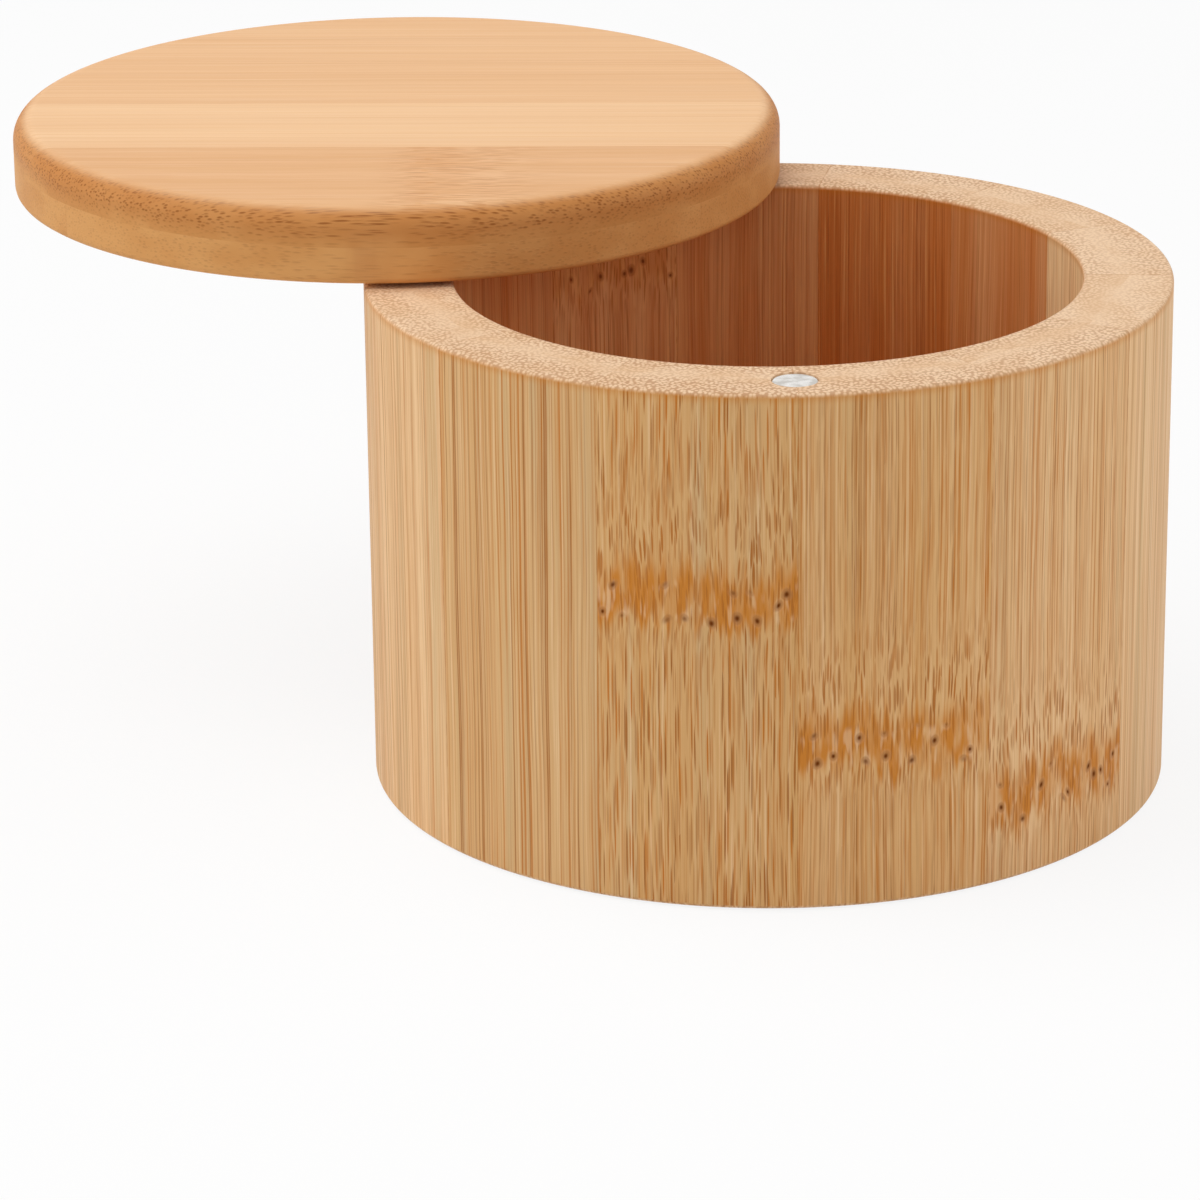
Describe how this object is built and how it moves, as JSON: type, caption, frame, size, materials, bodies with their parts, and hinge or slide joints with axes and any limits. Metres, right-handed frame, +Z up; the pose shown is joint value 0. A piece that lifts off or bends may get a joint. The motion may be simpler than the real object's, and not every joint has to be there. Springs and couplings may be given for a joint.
{
  "type": "salt box",
  "caption": "Round lidded salt box of laminated bamboo staves, with a disc lid that swivels sideways on a pin in the wall and is held shut by a pair of magnets.",
  "frame": {"origin": "middle of the foot, on the axis of the stave ring", "axes": "+Z up along the axis of the box; +Y from the rim magnet in front to the pivot at the back; the lid stands swung open to the left, -X"},
  "size_m": [0.1308, 0.1308, 0.067],
  "materials": {
    "outer_staves": "sanded and oiled bamboo",
    "inner_staves": "sanded and oiled bamboo",
    "floor_strips": "sanded and oiled bamboo",
    "lid_top": "sanded and oiled bamboo",
    "lid_under": "sanded and oiled bamboo",
    "pin": "ground",
    "washer": "natural nylon",
    "magnets": "nickel plated"
  },
  "bodies": {
    "box": {"floor_strip_1": "floor_strips", "floor_strip_2": "floor_strips", "floor_strip_3": "floor_strips", "floor_strip_4": "floor_strips", "floor_strip_5": "floor_strips", "inner_stave_01": "inner_staves", "inner_stave_02": "inner_staves", "inner_stave_03": "inner_staves", "inner_stave_04": "inner_staves", "inner_stave_05": "inner_staves", "inner_stave_06": "inner_staves", "inner_stave_07": "inner_staves", "inner_stave_08": "inner_staves", "inner_stave_09": "inner_staves", "inner_stave_10": "inner_staves", "inner_stave_11": "inner_staves", "inner_stave_12": "inner_staves", "inner_stave_13": "inner_staves", "outer_stave_01": "outer_staves", "outer_stave_02": "outer_staves", "outer_stave_03": "outer_staves", "outer_stave_04": "outer_staves", "outer_stave_05": "outer_staves", "outer_stave_06": "outer_staves", "outer_stave_07": "outer_staves", "outer_stave_08": "outer_staves", "outer_stave_09": "outer_staves", "outer_stave_10": "outer_staves", "outer_stave_11": "outer_staves", "outer_stave_12": "outer_staves", "outer_stave_13": "outer_staves", "pivot_washer": "washer", "rim_magnet": "magnets"},
    "lid": {"lid_magnet": "magnets", "lid_top_strip_1": "lid_top", "lid_top_strip_2": "lid_top", "lid_top_strip_3": "lid_top", "lid_top_strip_4": "lid_top", "lid_under_strip_1": "lid_under", "lid_under_strip_2": "lid_under", "lid_under_strip_3": "lid_under", "lid_under_strip_4": "lid_under", "lid_under_strip_5": "lid_under", "pivot_pin": "pin"}
  },
  "joints": [
    {"name": "lid_swivel", "type": "hinge", "parent": "box", "child": "lid", "pos_m": [0, 0.0408, 0.0585], "axis": [0, 0, 1], "continuous": true}
  ]
}
